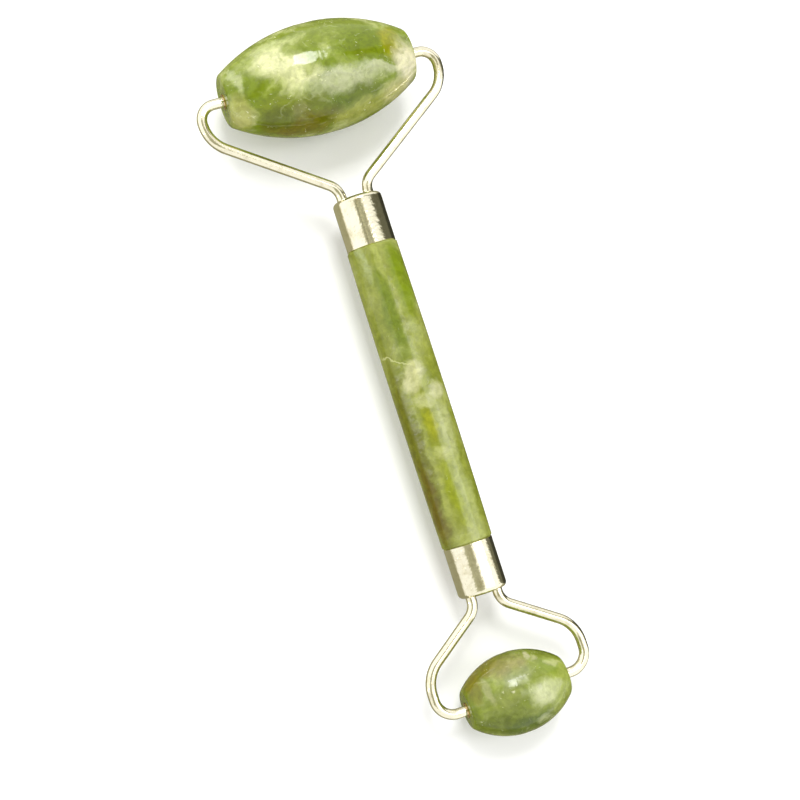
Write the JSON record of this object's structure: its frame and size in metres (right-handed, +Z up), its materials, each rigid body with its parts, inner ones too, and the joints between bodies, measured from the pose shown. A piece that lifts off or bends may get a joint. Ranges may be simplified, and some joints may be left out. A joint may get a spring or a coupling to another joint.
{
  "type": "jade face roller",
  "caption": "Double-ended facial massage roller: stone rod handle, ferrules, and bent-wire forks that each carry a free-turning barrel stone.",
  "frame": {"origin": "on the table, under the middle of the object's bounding box, with the roller lying on its two stones", "axes": "+X along both roller axles, +Y along the handle towards the large roller, +Z up from the table; the tool's own plane is tipped 1.33 degrees about X so that both stones touch z = 0"},
  "size_m": [0.0524, 0.1486, 0.0223],
  "materials": {
    "jade_handle": "polished mid-green jade with cloudy paler patches",
    "jade_large": "polished mottled jade, olive to yellow-green with cream translucent patches",
    "jade_small": "polished darker olive jade with a pale patch",
    "wire_metal": "polished pale champagne-gold plating on wire",
    "ferrule_metal": "polished pale champagne-gold plating on a drawn cup",
    "bush_brass": "golden-brown brass, slightly tarnished",
    "resin": "set clear adhesive, slightly yellow"
  },
  "bodies": {
    "root": {"handle": "jade_handle", "large_ferrule": "ferrule_metal", "small_ferrule": "ferrule_metal", "large_fork": "wire_metal", "small_fork": "wire_metal", "large_ferrule_resin": "resin", "small_ferrule_resin": "resin"},
    "large_roller_body": {"large_roller": "jade_large", "large_bush_left": "bush_brass", "large_bush_right": "bush_brass"},
    "small_roller_body": {"small_roller": "jade_small", "small_bush_left": "bush_brass", "small_bush_right": "bush_brass"}
  },
  "joints": [
    {"name": "large_roller_spin", "type": "hinge", "parent": "root", "child": "large_roller_body", "pos_m": [0, 0.06314, 0.01115], "axis": [1, 0, 0], "continuous": true},
    {"name": "small_roller_spin", "type": "hinge", "parent": "root", "child": "small_roller_body", "pos_m": [0, -0.06614, 0.00815], "axis": [1, 0, 0], "continuous": true}
  ]
}
